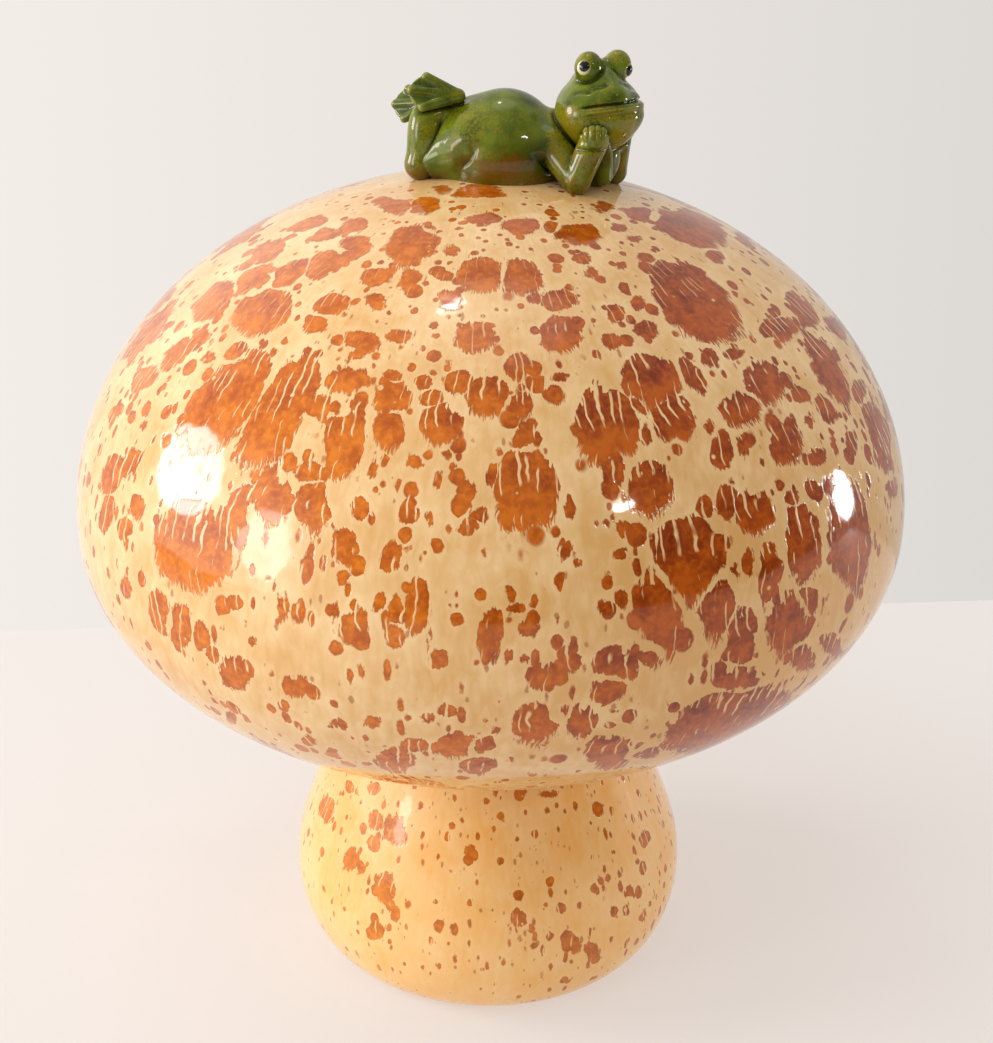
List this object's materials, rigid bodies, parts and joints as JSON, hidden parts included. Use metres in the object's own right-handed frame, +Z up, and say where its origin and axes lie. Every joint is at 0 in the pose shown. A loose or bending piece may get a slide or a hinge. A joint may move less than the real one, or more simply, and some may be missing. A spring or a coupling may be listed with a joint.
{
  "type": "ceramic mushroom ornament",
  "caption": "Free-standing glazed ceramic mushroom with a wide domed cap that lifts off its hollow stem and a small frog lying on top, chin on its fists and feet crossed in the air.",
  "frame": {"origin": "centre of the foot ring, on the surface that the ornament stands on", "axes": "+Z up along the mushroom's axis, +X along the frog's back towards its head, -Y towards the viewer of the picture"},
  "size_m": [0.254, 0.254, 0.2923],
  "materials": {
    "cream_amber_glaze": "glossy reactive glaze, amber cells in cream",
    "green_glaze": "glossy translucent green glaze, darker in the hollows",
    "white_glaze": "glossy white glaze with a black dot"
  },
  "bodies": {
    "stem_body": {"stem": "cream_amber_glaze"},
    "cap_body": {"cap": "cream_amber_glaze", "frog_torso": "green_glaze", "frog_head": "green_glaze", "frog_eyes": "white_glaze", "frog_right_arm": "green_glaze", "frog_left_arm": "green_glaze", "frog_right_leg": "green_glaze", "frog_left_leg": "green_glaze", "frog_right_foot": "green_glaze", "frog_left_foot": "green_glaze"}
  },
  "joints": [
    {"name": "cap_lift", "type": "slide", "parent": "stem_body", "child": "cap_body", "axis": [0, 0, 1], "range_m": [0, 0.06]}
  ]
}
